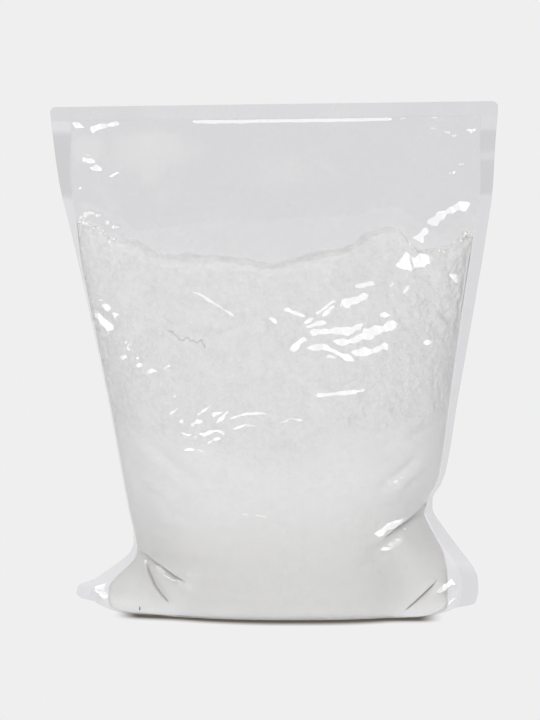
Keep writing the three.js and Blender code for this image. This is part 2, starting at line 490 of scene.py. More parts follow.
@dataclass(frozen=True)
class Crease:
    """A crease in the film. line is where its bright flank shows in the photograph, width is the glint's
    width in millimetres, and slope is how steeply the flank leans out of the film."""

    line: tuple[Point, ...]
    width: float
    slope: float = 0.46
    facing: Facing = Facing.UP
    unevenness: float = 1.0

    FALL = 0.6  # width of the other flank, as a share of this one's

    def lift(self, places: Array) -> Array:
        """How far the crease lifts the film.

        Args:
            places: places in the photograph.

        Returns:
            The lift at each place.
        """
        lift = np.zeros(len(places))
        near = close_to(places, [(self.line, 2.8 * self.width)])
        if near.any():
            gap, along, length = beside(places[near], self.line, self.facing)
            start = self.line[0]
            gap += 0.08 * self.width * self.unevenness * np.sin(along / 1.3 + 2 * start[0])
            taper = np.clip(np.minimum(along, length - along) / (0.9 * self.width), 0.02, 1) ** 0.8
            waves = 0.22 * np.sin(along / 2.3 + start[0]) + 0.14 * np.sin(along / 0.9 + start[1])
            wide = FLANK_ROUNDING * self.width * taper * (0.85 + self.unevenness * waves)
            upper = np.clip((wide / 2 - gap) / wide, 0, 1)
            lower = np.clip(1 - (-wide / 2 - gap) / (wide * self.FALL), 0, 1)
            lift[near] = self.slope * wide * np.where(gap >= -wide / 2, upper, lower)
        return lift


@dataclass(frozen=True)
class Ridge:
    """A soft fold that film and powder share. height is negative for a groove."""

    line: tuple[Point, ...]
    width: float
    height: float

    def lift(self, places: Array) -> Array:
        """How far the ridge lifts the surface.

        Args:
            places: places in the photograph.

        Returns:
            The lift at each place.
        """
        gap, along, length = beside(places, self.line)
        ends = np.clip(np.minimum(along, length - along) / (1.2 * self.width) + 0.25, 0, 1)
        return self.height * ends * np.exp(-((gap / (0.6 * self.width)) ** 2))


@dataclass(frozen=True)
class Tuck:
    """A fold where the sheet above hangs over the sheet below. line is its lip in the photograph, from
    where it is deepest; the sizes are in millimetres."""

    line: tuple[Point, ...]
    depth: float
    lip: float
    above: float
    below: float
    deepest: float = 0.3
    facing: Facing = Facing.UP

    MOUTH = 0.7  # over what width the sheet steps in

    def lift(self, places: Array) -> Array:
        """How far the tuck moves the surface outwards.

        Args:
            places: places in the photograph.

        Returns:
            The move at each place.
        """
        gap, along, length = beside(places, self.line, self.facing)
        t = along / length
        strength = np.minimum(np.sqrt(ramp(t, 0, self.deepest)), 1 - ramp(t, self.deepest, 1) ** 2)
        hang = self.lip * np.exp(-np.clip(gap, 0, None) / self.above)
        under = np.clip(-gap, 0, None)
        sink = self.depth * smooth(under / self.MOUTH) * np.exp(-((under / self.below) ** 1.5))
        return strength * np.where(gap > 0, hang, -sink)

    def shade(self, places: Array) -> Array:
        """How deep in the tuck's narrow mouth places are, where the powder's colour is darkened as painted
        shade.

        Args:
            places: places in the photograph.

        Returns:
            From 0 to 1 for each place.
        """
        gap, along, length = beside(places, self.line, self.facing)
        ends = np.clip(np.minimum(along, 0.7 * (length - along)) / 3, 0, 1)
        return ends * np.clip(1 - np.abs(gap + 0.8 * self.MOUTH) / (1.3 * self.MOUTH), 0, 1)


@dataclass(frozen=True)
class Bloom:
    """A cloud of powder that clings to the inside of the film, placed in the photograph."""

    centre: Point
    radii: Point
    angle: float  # degrees, clockwise in the photograph
    strength: float

    def amount(self, places: Array) -> Array:
        """How much powder clings.

        Args:
            places: places in the photograph.

        Returns:
            From 0 to 1 for each place.
        """
        a = math.radians(self.angle)
        dx, dy = (places - np.array(self.centre)).T
        u = (dx * math.cos(a) + dy * math.sin(a)) / self.radii[0]
        v = (-dx * math.sin(a) + dy * math.cos(a)) / self.radii[1]
        return self.strength * np.exp(-((u * u + v * v) ** 1.5))


CREASES = (
    # Along the top weld's inner line.
    Crease(((192, 121), (228, 121), (270, 120), (330, 119.5), (393, 118)), 2.4, 0.32, unevenness=0.2),
    Crease(((398, 118), (420, 117.5)), 0.9, 0.3),
    Crease(((428, 117), (448, 116.5)), 0.9, 0.3),
    Crease(((455, 116.5), (480, 116)), 0.9, 0.3),
    # The left end of the empty top.
    Crease(((70, 123), (85, 128)), 2),
    Crease(((88, 131.5), (104, 126), (120, 123.5)), 2),
    Crease(((77, 128), (72, 135)), 1, facing=Facing.LEFT),
    Crease(((86, 154), (91, 157)), 1),
    Crease(((82, 159), (96, 163)), 1.5),
    Crease(((89, 166.5), (104, 170.5)), 2),
    Crease(((109, 178), (119, 172)), 1),
    Crease(((77.5, 190.5), (82, 187)), 1),
    # The right side, down from the empty top.
    Crease(((470.6, 203), (445, 212.5), (429, 225), (414, 246)), 2.8, 0.42),
    Crease(((396, 265), (412, 263), (432, 259)), 5.5, 0.44),
    Crease(((404, 268), (412, 270), (420, 266)), 2, 0.42),
    Crease(((447, 282), (460, 275)), 3),
    Crease(((397, 266), (394.8, 279), (390.5, 288), (390, 302), (390.7, 320)), 1, 0.4, Facing.LEFT),
    Crease(((406, 281), (412, 284)), 1),
    Crease(((402, 295), (409, 286)), 1),
    Crease(((437, 324.5), (445, 329)), 1),
    Crease(((422, 344), (434, 341.4)), 1.5),
    # The middle.
    Crease(((355, 287), (374, 284)), 2),
    Crease(((340, 307), (351, 302), (368, 296)), 3),
    Crease(((316, 315), (334.5, 301)), 1),
    Crease(((320.5, 318), (333, 305.6)), 1.5),
    Crease(((285, 309), (298, 315), (305, 317)), 1.5),
    Crease(((304, 325), (312, 317.5)), 1.5),
    Crease(((304, 326.6), (326, 323)), 2),
    Crease(((308, 332), (333, 331.6), (351, 331.6), (362.6, 324)), 2.5),
    Crease(((333, 341), (354, 340), (371, 333), (391, 326), (398, 324.5)), 3.4),
    Crease(((380, 314.7), (390.7, 316)), 3),
    Crease(((289, 355), (305, 337)), 2),
    Crease(((307, 349), (322, 347), (337, 352.6), (355.6, 362.4)), 2),
    Crease(((326, 357), (343, 355.4)), 1.5),
    Crease(((351.4, 352.6), (368, 352.6), (389, 345.6)), 2.5),
    Crease(((270.7, 317.5), (277, 325)), 1),
    Crease(((315.6, 396), (353, 392.6), (365, 390)), 1.5),
    # The left side.
    Crease(((95.5, 301), (104, 300)), 1),
    Crease(((102, 304), (112.5, 312), (119.6, 319)), 2.1),
    Crease(((91.5, 312), (102, 323.6), (112.5, 334)), 2.6),
    Crease(((127, 348), (132, 343)), 1),
    Crease(((129, 350), (141, 361.5)), 1.5),
    Crease(((121, 355), (129, 361.5)), 2.1),
    Crease(((135, 363), (145, 367)), 2.1),
    Crease(((142, 375), (155.6, 370)), 2.1),
    Crease(((150.4, 374.6), (155.6, 378.5)), 1.5),
    Crease(((162, 371), (170, 365)), 1),
    Crease(((155.6, 386), (161, 378.5)), 1.2),
    Crease(((192, 292), (200, 295), (235, 317)), 1, 0.3),
    Crease(((125, 341), (133, 352), (137, 357)), 1.4, facing=Facing.RIGHT),
    Crease(((146, 379), (152, 373), (158, 371)), 1.2),
    Crease(((158, 384), (163, 374), (169, 367)), 1.1),
    # The band of small creases left of the middle.
    Crease(((166, 404), (172, 398), (177, 396)), 0.9),
    Crease(((196, 417), (204, 411), (212, 405)), 1),
    Crease(((214, 424), (222, 419), (228, 411)), 1.2),
    Crease(((192, 440), (200, 434), (208, 436)), 1.1),
    Crease(((205, 446), (214, 440), (222, 438)), 1),
    Crease(((232, 430), (246, 425), (262, 428)), 0.8),
    Crease(((180, 432), (188, 436), (192, 434)), 1),
    Crease(((279, 424), (291, 419), (303, 421)), 0.8),
    Crease(((165, 418), (178.5, 408)), 1.4),
    Crease(((179, 420), (186, 423.6)), 1.5),
    Crease(((189, 428), (197, 422), (202.6, 422), (207, 429)), 1.4),
    Crease(((208, 423.6), (214, 415), (223, 412)), 1.5),
    Crease(((229, 419), (247, 414), (268, 414)), 1),
    Crease(((202.6, 437), (210.5, 432), (217, 431), (226, 435)), 1.4),
    Crease(((183, 449.7), (200, 450.3), (206.6, 453)), 1, 0.4),
    Crease(((277, 458), (285, 452)), 1, 0.3),
    Crease(((241, 514), (268, 517)), 1, 0.45),
    # The facets beside the tucks.
    Crease(((373, 537.5), (387, 528), (397, 521.5), (408, 513.5)), 2.2, 0.6),
    Crease(((163, 572), (179, 581)), 1.6, 0.5),
    # The crumpled film of the ears.
    Crease(((85, 591), (95, 587), (105, 584)), 2.4, 0.3),
    Crease(((91, 601), (99, 597), (107, 592)), 2, 0.3),
    Crease(((99, 590), (105, 575)), 1.5, 0.4, Facing.LEFT),
    Crease(((436, 593), (446, 586), (456, 580)), 2.4, 0.3),
    Crease(((447, 606), (460, 599), (476, 593)), 2.4, 0.3),
)

RIDGES = (
    # The left side, above the waist.
    Ridge(((132, 443), (153, 459), (187, 483)), 3.5, 0.6),
    Ridge(((150, 446), (172, 466), (196, 482)), 5, -1.44),
    Ridge(((145, 483), (170, 495)), 3, 0.96),
    Ridge(((143, 476), (160, 482)), 3, -0.64),
    Ridge(((153, 520), (188, 525)), 3, 0.8),
    Ridge(((137, 528), (167, 538)), 3.5, 0.8),
    Ridge(((92, 306), (104, 318), (116, 328)), 3, -1.44),
    # The right side, above the waist.
    Ridge(((418, 458), (400, 474), (380, 488)), 3.5, -1.44),
    Ridge(((425, 470), (408, 481), (391, 491)), 4, 0.9),
    Ridge(((435, 465), (420, 476), (407, 486)), 3, -1.28),
    Ridge(((440, 404), (420, 424), (396, 442)), 6, 1.28),
    Ridge(((432, 420), (405, 440), (376, 450)), 5, -1.12),
    # Below the right waist, and round the ears.
    Ridge(((403, 534), (385, 546), (366, 556)), 3.5, -1.28),
    Ridge(((407.5, 541), (388, 552), (366, 561)), 4, 0.55),
    Ridge(((383, 558), (358, 568)), 3.5, -0.96),
    Ridge(((448, 590), (458, 600)), 2.5, -0.8),
    Ridge(((172, 581), (194, 593)), 4, 1.12),
    Ridge(((180, 572), (198, 575)), 4.5, 1.44),
)

TUCKS = (
    # The waist on the right, and the fold that closes the right ear.
    Tuck(((433, 493), (423, 503), (411.7, 514), (391, 532), (381, 540)), 3, 1.3, 4.5, 2.4, 0.35),
    Tuck(((437, 580), (427, 589.5), (416, 600), (402, 612)), 2.2, 0.9, 3, 2.6, 0.3, Facing.LEFT),
    # The waist on the left, and the curved fold down to the left end of the base.
    Tuck(((141, 551), (147, 554), (161.7, 565), (176, 575.5), (187, 582)), 2.8, 1.3, 4, 2.8, 0.6),
    Tuck(((144, 559), (147, 571), (153, 585), (161, 596), (171, 607)), 2, 1, 3, 2.6, 0.6, Facing.LEFT),
)

# The top of the powder against the front film, as it shows in the photograph, in pixels.
SUGAR_LINE = Stations(
    (
        (80, 222), (86, 224), (100.6, 232), (110, 243), (135.7, 246), (148.5, 256), (175.6, 262),
        (209, 263), (247, 267), (271, 270), (290, 267.6), (307, 263), (322, 258.5), (337, 257),
        (346.6, 252), (357, 249), (368, 238.5), (383, 234), (397, 232), (403, 237), (412, 249),
        (423, 255), (449, 251), (460, 241.6), (467.5, 237), (473.6, 237),
    )
)  # fmt: skip

BLOOMS = (
    Bloom((87, 149), (16, 16), 0, 0.5),
    Bloom((150, 150), (46, 24), -5, 0.5),
    Bloom((150, 175), (14, 12), 0, 0.3),
    Bloom((165, 197), (10, 9), 0, 0.25),
    Bloom((106, 197), (24, 6), 53, 0.25),
    Bloom((277, 170), (38, 22), 0, 0.3),
    Bloom((322, 160), (38, 6), 53, 0.22),
    Bloom((342, 145), (20, 7), 15, 0.2),
    Bloom((420, 150), (60, 10), 30, 0.12),
    Bloom((395, 185), (50, 12), 35, 0.1),
)

CRACK = (
    (166, 328.5), (169, 331.5), (172, 331), (174, 334.5), (177, 336), (179, 339.5), (183, 340.5),
    (185, 338), (188, 337.5), (190, 341), (193, 340), (196.5, 343), (199, 341), (201.5, 339.5),
    (202, 343), (204.5, 345), (204.7, 349),
)  # fmt: skip


def relief(places: Array) -> Array:
    """The soft folds that film and powder share, at places in the photograph."""
    return sum((fold.lift(places) for fold in (*RIDGES, *TUCKS)), np.zeros(len(places)))


# ---------------------------------------------------------------- finishes


@dataclass(frozen=True)
class Value:
    """A node's output socket on which Python's arithmetic adds Math nodes."""

    shader: "Shader"
    socket: bpy.types.NodeSocket

    def _math(self, operation: str, *values: Any, clamp: bool = False) -> "Value":
        """The result of a Math node."""
        settings = {"operation": operation, "use_clamp": clamp}
        return self.shader.node("ShaderNodeMath", settings, dict(enumerate(values)))

    def __add__(self, other: Any) -> "Value":
        """This plus another."""
        return self._math("ADD", self, other)

    __radd__ = __add__

    def __mul__(self, other: Any) -> "Value":
        """This times another."""
        return self._math("MULTIPLY", self, other)

    __rmul__ = __mul__

    def __sub__(self, other: Any) -> "Value":
        """This less another."""
        return self._math("SUBTRACT", self, other)

    def __rsub__(self, other: Any) -> "Value":
        """Another less this."""
        return self._math("SUBTRACT", other, self)

    def __pow__(self, other: Any) -> "Value":
        """This to a power."""
        return self._math("POWER", self, other)

    def absolute(self) -> "Value":
        """This without its sign."""
        return self._math("ABSOLUTE", self)

    def clamped(self) -> "Value":
        """This kept from 0 to 1."""
        return self._math("ADD", self, 0.0, clamp=True)

    def steps(self, low: float, high: float) -> "Value":
        """A smooth step from 0 at low to 1 at high."""
        settings = {"interpolation_type": "SMOOTHSTEP"}
        return self.shader.node("ShaderNodeMapRange", settings, {0: self, 1: low, 2: high})

    def axis(self, name: str) -> "Value":
        """One axis of a vector."""
        return self.shader.node("ShaderNodeSeparateXYZ", None, {0: self}, name)


class Shader:
    """A material or world whose nodes are made by one method."""

    def __init__(self, owner: bpy.types.Material | bpy.types.World) -> None:
        """Clears the nodes of the material or world."""
        owner.use_nodes = True
        self.tree = owner.node_tree
        self.tree.nodes.clear()

    @classmethod
    def material(cls, name: str) -> tuple["Shader", bpy.types.Material]:
        """A new material and its shader."""
        made = bpy.data.materials.new(name)
        return cls(made), made

    def node(
        self,
        kind: str,
        settings: dict[str, Any] | None = None,
        sockets: dict[int | str, Any] | None = None,
        output: int | str = 0,
    ) -> Value:
        """Adds a node.

        Args:
            kind: the node's type.
            settings: its properties, which are set first.
            sockets: values or links for its inputs, by name or number.
            output: which output to return.

        Returns:
            The output socket.
        """
        made = self.tree.nodes.new(kind)
        for name, value in (settings or {}).items():
            setattr(made, name, value)
        for key, value in (sockets or {}).items():
            if isinstance(value, Value):
                self.tree.links.new(value.socket, made.inputs[key])
            else:
                made.inputs[key].default_value = value
        return Value(self, made.outputs[output])

    def attribute(self, name: str) -> Value:
        """A number stored on the mesh's points."""
        return self.node("ShaderNodeAttribute", {"attribute_name": name}, output="Fac")

    def place(self) -> Value:
        """The place on the object."""
        return self.node("ShaderNodeTexCoord", output="Object")

    def noise(self, size: float, detail: float = 3.0, roughness: float = 0.5) -> Value:
        """Noise of a feature size in millimetres, on the object's coordinates."""
        sockets = {"Vector": self.place(), "Scale": 1 / (size * MM), "Detail": detail, "Roughness": roughness}
        return self.node("ShaderNodeTexNoise", {"noise_dimensions": "3D"}, sockets)

    def tint(self, factor: Value, low: Value | Colour, high: Colour) -> Value:
        """A colour mixed from two."""
        first = low if isinstance(low, Value) else (*low, 1.0)
        return self.node("ShaderNodeMix", {"data_type": "RGBA"}, {0: factor, 6: first, 7: (*high, 1.0)}, 2)

    def bump(self, height: Value, strength: float, distance: float) -> Value:
        """The normals that a bumpy surface has."""
        sockets = {"Strength": strength, "Distance": distance, "Height": height}
        return self.node("ShaderNodeBump", None, sockets)

    def mix(self, factor: Value, low: Value, high: Value) -> Value:
        """A Mix Shader."""
        return self.node("ShaderNodeMixShader", None, {0: factor, 1: low, 2: high})

    def finish(self, surface: Value, kind: str = "ShaderNodeOutputMaterial") -> None:
        """Connects the surface to the output."""
        made = self.tree.nodes.new(kind)
        self.tree.links.new(surface.socket, made.inputs["Surface"])


@dataclass(frozen=True)
class FilmFinish:
    """Clear glossy film, with powder clinging inside it where the mesh's dust attribute says so."""

    passes: Colour = (0.926, 0.921, 0.932)
    passes_shaded: Colour = (0.85, 0.846, 0.856)
    powder: Colour = (0.99, 0.99, 0.97)
    gloss: float = 0.07  # what the film mirrors of light that meets it head on
    weld_gloss: float = 0.1  # share of that which the welds mirror
    roughness: float = 0.05
    weld_roughness: float = 0.35
    haze: float = 0.02

    def make(self) -> bpy.types.Material:
        """Makes the material.

        Returns:
            The material.
        """
        shader, material = Shader.material("clear_film")
        dust = shader.attribute("dust")
        weld = shader.attribute("weld")
        patches = (dust * 0.9 + shader.noise(13.0, 8.0, 0.66) * 0.9).steps(0.5, 0.86)
        veil = shader.noise(17.0, 7.0, 0.7).steps(0.47, 0.7)
        milky = self.haze + 0.04 * dust + 0.12 * patches * dust.steps(0.0, 0.35) + 0.05 * veil
        light, dark = (
            shader.node("ShaderNodeBsdfTransparent", None, {"Color": (*colour, 1.0)})
            for colour in (self.passes, self.passes_shaded)
        )
        clear = shader.mix(shader.attribute("shade"), light, dark)
        cling = shader.node("ShaderNodeBsdfDiffuse", None, {"Color": (*self.powder, 1.0)})
        roughness = self.roughness + (self.weld_roughness - self.roughness) * weld
        normal = shader.bump(shader.noise(7.0), 0.2, 0.0003)
        shine = shader.node(
            "ShaderNodeBsdfGlossy", None, {"Color": WHITE, "Normal": normal, "Roughness": roughness}
        )
        facing = shader.node("ShaderNodeLayerWeight", None, {"Blend": 0.5}, "Facing")
        mirror = (self.gloss + (1 - self.gloss) * facing**5.0) * (1 - (1 - self.weld_gloss) * weld)
        shader.finish(shader.mix(mirror, shader.mix(milky.clamped(), clear, cling), shine))
        return material


@dataclass(frozen=True)
class PowderFinish:
    """Fine white powder: matt and a little uneven in tone. Painted shade makes it greyer and a little
    yellower low on the pouch, and darker in its crack, along fine fissures and in the mouths of the tucks."""

    light: Colour = (0.985, 0.985, 0.975)
    shade: Colour = (0.915, 0.917, 0.9)
    # painted shade: the greyer, yellower colour of the powder low on the pouch
    low_shade: Colour = (0.835, 0.84, 0.81)
    # painted shade in the crack, in the tucks' narrow mouths and along fine fissures
    crack_and_shade: Colour = (0.42, 0.41, 0.39)

    def make(self) -> bpy.types.Material:
        """Makes the material.

        Returns:
            The material.
        """
        shader, material = Shader.material("powdered_sugar")
        rough = shader.attribute("rough")
        uneven = (0.4 * shader.noise(22.0) + 0.6 * shader.noise(2.4, 4.0, 0.6)).steps(0.3, 0.7)
        # Painted shade of tiny crinkles: thin dark lines along fine fissures and small dark specks in the
        # rough powder.
        fissure_shade = 1 - ((shader.noise(3.6, 8.0, 0.75) - 0.5) * 20).absolute().clamped()
        specks = shader.noise(1.5, 5.0, 0.7).steps(0.56, 0.72)
        fine = rough * (fissure_shade * shader.noise(8.0).steps(0.44, 0.6) * 0.13 + 0.05 * specks)
        height = shader.place().axis("Z")
        # Painted shade low on the pouch: full from 12 to 20 mm up, fading towards the floor and out by 70 mm.
        low_shade = height.steps(0.0, 0.012) * (1 - height.steps(0.02, 0.07))
        tone = shader.tint((uneven * 0.6 + rough * 0.4).clamped(), self.shade, self.light)
        tone = shader.tint(low_shade, tone, self.low_shade)
        # Painted shade: darker in the crack, in the tucks' narrow mouths and along fine fissures.
        tone = shader.tint((shader.attribute("crack_and_shade").steps(0.2, 1.0) + fine).clamped(), tone, self.crack_and_shade)
        grain = (0.4 * shader.noise(1.2, 3.0, 0.6) + shader.noise(2.8, 4.0, 0.7)) * (0.1 + rough)
        normal = shader.bump(grain, 0.85, 0.0011)
        sockets = {"Base Color": tone, "Roughness": 0.95, "Specular IOR Level": 0.15, "Normal": normal}
        shader.finish(shader.node("ShaderNodeBsdfPrincipled", None, sockets))
        return material


@dataclass(frozen=True)
class SpeckFinish:
    """Matt brown dirt."""

    dark: Colour = (0.09, 0.06, 0.03)
    light: Colour = (0.16, 0.11, 0.06)

    def make(self) -> bpy.types.Material:
        """Makes the material.

        Returns:
            The material.
        """
        shader, material = Shader.material("brown_speck")
        tone = shader.tint(shader.noise(0.8), self.dark, self.light)
        shader.finish(shader.node("ShaderNodeBsdfPrincipled", None, {"Base Color": tone, "Roughness": 0.8}))
        return material


# ---------------------------------------------------------------- pieces


class Piece:
    """A mesh of the object. A sheet starts as a plane of column and row numbers."""

    def __init__(self, name: str) -> None:
        """Starts an empty piece of that name."""
        self.name = name
        self.bm = bmesh.new()

    def sheets(self, columns: int, rows: int) -> None:
        """Adds the front sheet at z 0 and the back one at z 1, with their numbers as x and y.

        Args:
            columns: how many columns of points.
            rows: how many rows of points.
        """
        for level in (0.0, 1.0):
            made = bmesh.ops.create_grid(self.bm, x_segments=columns - 1, y_segments=rows - 1, size=1.0)
            for v in made["verts"]:
                v.co = ((v.co.x + 1) / 2 * (columns - 1), (v.co.y + 1) / 2 * (rows - 1), level)

    def split(self, back: float, chosen: Callable[[Array], Array]) -> None:
        """Splits each chosen face of one sheet into four.

        Args:
            back: which sheet.
            chosen: tells which faces to split from an (n, 3) array of their centres.
        """
        faces = [f for f in self.bm.faces if (f.verts[0].co.z > 0.5) == (back > 0)]
        mask = chosen(np.array([f.calc_center_median()[:] for f in faces]))
        edges = {e for f, c in zip(faces, mask, strict=True) if c for e in f.edges}
        bmesh.ops.subdivide_edges(self.bm, edges=list(edges), cuts=1, use_grid_fill=True)

    def plane(self) -> tuple[Array, Array]:
        """The points' places on the plane as an (n, 3) array, and the sheet that each is on."""
        plane = np.array([v.co[:] for v in self.bm.verts])
        return plane, np.where(plane[:, 2] > 0.5, 1.0, -1.0)

    def shape(self, points: Array, numbers: dict[str, Array], rim: Array, gap: float) -> None:
        """Moves every point, stores numbers on the points and joins the rim.

        Args:
            points: where the points go.
            numbers: values for each point, by attribute name.
            rim: a mask of the points to join.
            gap: how near to each other they must be.
        """
        layers = [self.bm.verts.layers.float.new(name) for name in numbers]
        for v, point, *values in zip(self.bm.verts, points, *numbers.values(), strict=True):
            v.co = point
            for layer, value in zip(layers, values, strict=True):
                v[layer] = value
        self.bm.verts.ensure_lookup_table()
        edge = [self.bm.verts[i] for i in np.flatnonzero(rim)]
        bmesh.ops.remove_doubles(self.bm, verts=edge, dist=gap)

    def ball(self, subdivisions: int, radius: float, placed: Callable[[Vector], Vector]) -> None:
        """Adds a ball.

        Args:
            subdivisions: how fine its faces are.
            radius: its radius.
            placed: where each of its points goes.
        """
        made = bmesh.ops.create_icosphere(self.bm, subdivisions=subdivisions, radius=radius)
        for v in made["verts"]:
            v.co = placed(v.co)

    def to_object(self) -> bpy.types.Object:
        """Makes the object, in metres and with smooth faces.

        Returns:
            The object, linked to the scene.
        """
        bmesh.ops.recalc_face_normals(self.bm, faces=self.bm.faces)
        mesh = bpy.data.meshes.new(self.name)
        self.bm.to_mesh(mesh)
        self.bm.free()
        mesh.transform(Matrix.Scale(MM, 4))
        mesh.shade_smooth()
        obj = bpy.data.objects.new(self.name, mesh)
        bpy.context.scene.collection.objects.link(obj)
        return obj


@dataclass
class Film:
    """The two welded sheets of clear film, as one closed skin."""

    step: float = 1.9  # size of a face away from the folds
    form: PouchForm = PouchForm()
    splits: tuple[Point, ...] = ((-1, 2.4), (-1, 0.9), (1, 1.6))  # (sheet, how near to a fold)

    # Where the crumpled ears start to be dull and are fully so: in share across, and in rows.
    left_ear: tuple[Point, Point] = ((0.38, 0.44), (25, 20))
    right_ear: tuple[Point, Point] = ((0.44, 0.5), (42, 36))

    # The darker stretches of the side welds, between two heights in the photograph that they fade at.
    left_shaded: tuple[Point, Point] = ((130, 136), (201, 195))
    right_shaded: tuple[Point, Point] = ((128, 132), (197, 193))
    weld_gap: Point = (156, 6)  # a lighter place in the right one: its middle, and how far it reaches
    seam_line: Point = (1.006, 0.006)  # the thin darker line of each seam, in across, likewise
    top_shaded: Point = (380, 420)  # between these places across the photograph the top weld darkens

    def __post_init__(self) -> None:
        """Lays out the columns, from one weld's outer edge to the other's, and the rows."""
        weld = WELD_SHARE * np.array([0.12, 0.3, 0.5, 0.7, 0.88, 0.96, 1.0])
        inner = np.linspace(-1, 1, round(2 * HALF_WIDTH / self.step))
        self.columns = np.concatenate([-1 - weld[::-1], inner, 1 + weld])
        rows, length = self.form.lengths(2000)
        body = np.interp(np.linspace(0, length[-1], round(length[-1] / self.step)), length, rows)
        top = np.linspace(SEAL_LINE, STANDING_HEIGHT - CORNER_RADIUS, 6)[1:]
        corner = STANDING_HEIGHT - CORNER_RADIUS * np.array([0.75, 0.5, 0.3, 0.15, 0.05, 0.0])
        self.rows = np.concatenate([body, top, corner])

    def unfolded(self, plane: Array) -> tuple[Array, Array]:
        """Places across and rows of points on the plane of column and row numbers."""
        across = np.interp(plane[:, 0], np.arange(len(self.columns)), self.columns)
        return across, np.interp(plane[:, 1], np.arange(len(self.rows)), self.rows)

    def near_folds(self, centres: Array, back: float, margin: float) -> Array:
        """Which faces lie near a crease or a tuck, clear of the edges that are joined later.

        Args:
            centres: the faces' centres on the plane.
            back: which sheet they are on.
            margin: how near.

        Returns:
            A mask of the faces.
        """
        across, row = self.unfolded(centres)
        points = self.form.points(across, row, np.full(len(row), back))
        creases = [(c.line, margin + 0.95 * c.width) for c in CREASES]
        near = close_to(seen_on_front(points, back, turned=True), creases)
        near |= close_to(seen_on_front(points, back), [(t.line, margin + 1.6) for t in TUCKS])
        near &= (centres[:, 0] > 5) & (centres[:, 0] < len(self.columns) - 6)
        return near & (centres[:, 1] > 2) & (centres[:, 1] < len(self.rows) - 6)

    def build(self) -> bpy.types.Object:
        """Builds the film.

        Returns:
            The film's object.
        """
        piece = Piece("clear_film")
        piece.sheets(len(self.columns), len(self.rows))
        for side, margin in self.splits:
            piece.split(side, partial(self.near_folds, back=side, margin=margin))
        plane, back = piece.plane()
        across, row = self.unfolded(plane)
        points = self.form.points(across, row, back)
        seen = seen_on_front(points, back, turned=True)
        creased = self.creased(seen, across)
        lift = (relief(seen_on_front(points, back)) + creased) * self.freedom(across, row)
        points = points + self.form.outward(across, row, back) * lift[:, None]
        numbers = {
            "weld": self.weld_amount(across, row, creased),
            "dust": self.dust_amount(seen, across, row, points),
            "shade": self.shade_amount(seen, across, row),
        }
        rim = (np.abs(across) > 1 + WELD_SHARE * 0.999) | (row > STANDING_HEIGHT - 1e-6)
        piece.shape(points, numbers, rim | (row < -BASE_REACH + 1e-6), 0.02)
        return piece.to_object()

    def freedom(self, across: Array, row: Array) -> Array:
        """How freely the film may move, which is not at all on the welds and on the base."""
        return ramp(np.abs(across), 1, 0.98) * ramp(row, 0, 4) * ramp(row, SEAL_LINE, SEAL_LINE - 0.6)

    def creased(self, seen: Array, across: Array) -> Array:
        """The lift of all creases, the highest one winning.

        Args:
            seen: places in the photograph.
            across: places across.

        Returns:
            The lift at each place.
        """
        lift = np.zeros(len(seen))
        for crease in CREASES:
            lift = np.maximum(lift, crease.lift(seen))
        return lift * ramp(np.abs(across), 1, 0.88)

    def weld_amount(self, across: Array, row: Array, lift: Array) -> Array:
        """How dull the film is: 1 on the welds and less on the crumpled film of the two ears.

        Args:
            across: places across.
            row: the rows.
            lift: how far creases lift the film there.

        Returns:
            From 0 to 1 for each place.
        """
        left = ramp(-across, *self.left_ear[0]) * ramp(row, *self.left_ear[1])
        right = ramp(across, *self.right_ear[0]) * ramp(row, *self.right_ear[1])
        ears = EAR_DULLNESS * np.maximum(left, right) * ramp(lift, 0.15, 0)
        side = ramp(np.abs(across), 1, 1 + 0.1 * WELD_SHARE)
        return np.maximum(np.maximum(side, ramp(row, SEAL_LINE, SEAL_LINE + 1)), ears)

    def shade_amount(self, seen: Array, across: Array, row: Array) -> Array:
        """How much darker the film is: most on stretches of the side welds, less on the top weld.

        Args:
            seen: places in the photograph.
            across: places across.
            row: the rows.

        Returns:
            From 0 to 1 for each place.
        """
        down = seen[:, 1]
        left, right = (
            ramp(down, *upper) * ramp(down, *lower) for upper, lower in (self.left_shaded, self.right_shaded)
        )
        gap, gap_reach = self.weld_gap
        right = np.maximum(0.3, right * (1 - 0.7 * ramp(np.abs(down - gap), gap_reach, 0)))
        seam, seam_reach = self.seam_line
        line = 0.5 * ramp(np.abs(np.abs(across) - seam), seam_reach, 0)
        sides = np.where(across < -1.004, left, 0) + np.where(across > 1.004, right, 0)
        top = np.where(row > SEAL_LINE, 0.3 + 0.25 * ramp(seen[:, 0], *self.top_shaded), 0)
        return np.maximum(np.maximum(line, top), sides)

    def dust_amount(self, seen: Array, across: Array, row: Array, points: Array) -> Array:
        """How much powder clings to the film.

        Args:
            seen: places in the photograph.
            across: places across.
            row: the rows.
            points: the film's points.

        Returns:
            From 0 to 1 for each place.
        """
        dust = sum(bloom.amount(seen) for bloom in BLOOMS) * np.where(points[:, 1] < 0, 1.0, 0.25)
        above = (SUGAR_LINE.at(seen[:, 0]) - seen[:, 1]) * PIXEL
        ragged = above + 3.0 * noise_at(points, 7.0, 3.1)
        near_line = 0.45 * np.exp(-np.abs(ragged) / 3.0) + 0.15 * np.exp(-np.maximum(0, above) / 16)
        dust += near_line * np.clip(1 + above / 10, 0, 1)
        return np.clip(dust, 0, 1) * (np.abs(across) < 1) * (row < SEAL_LINE)


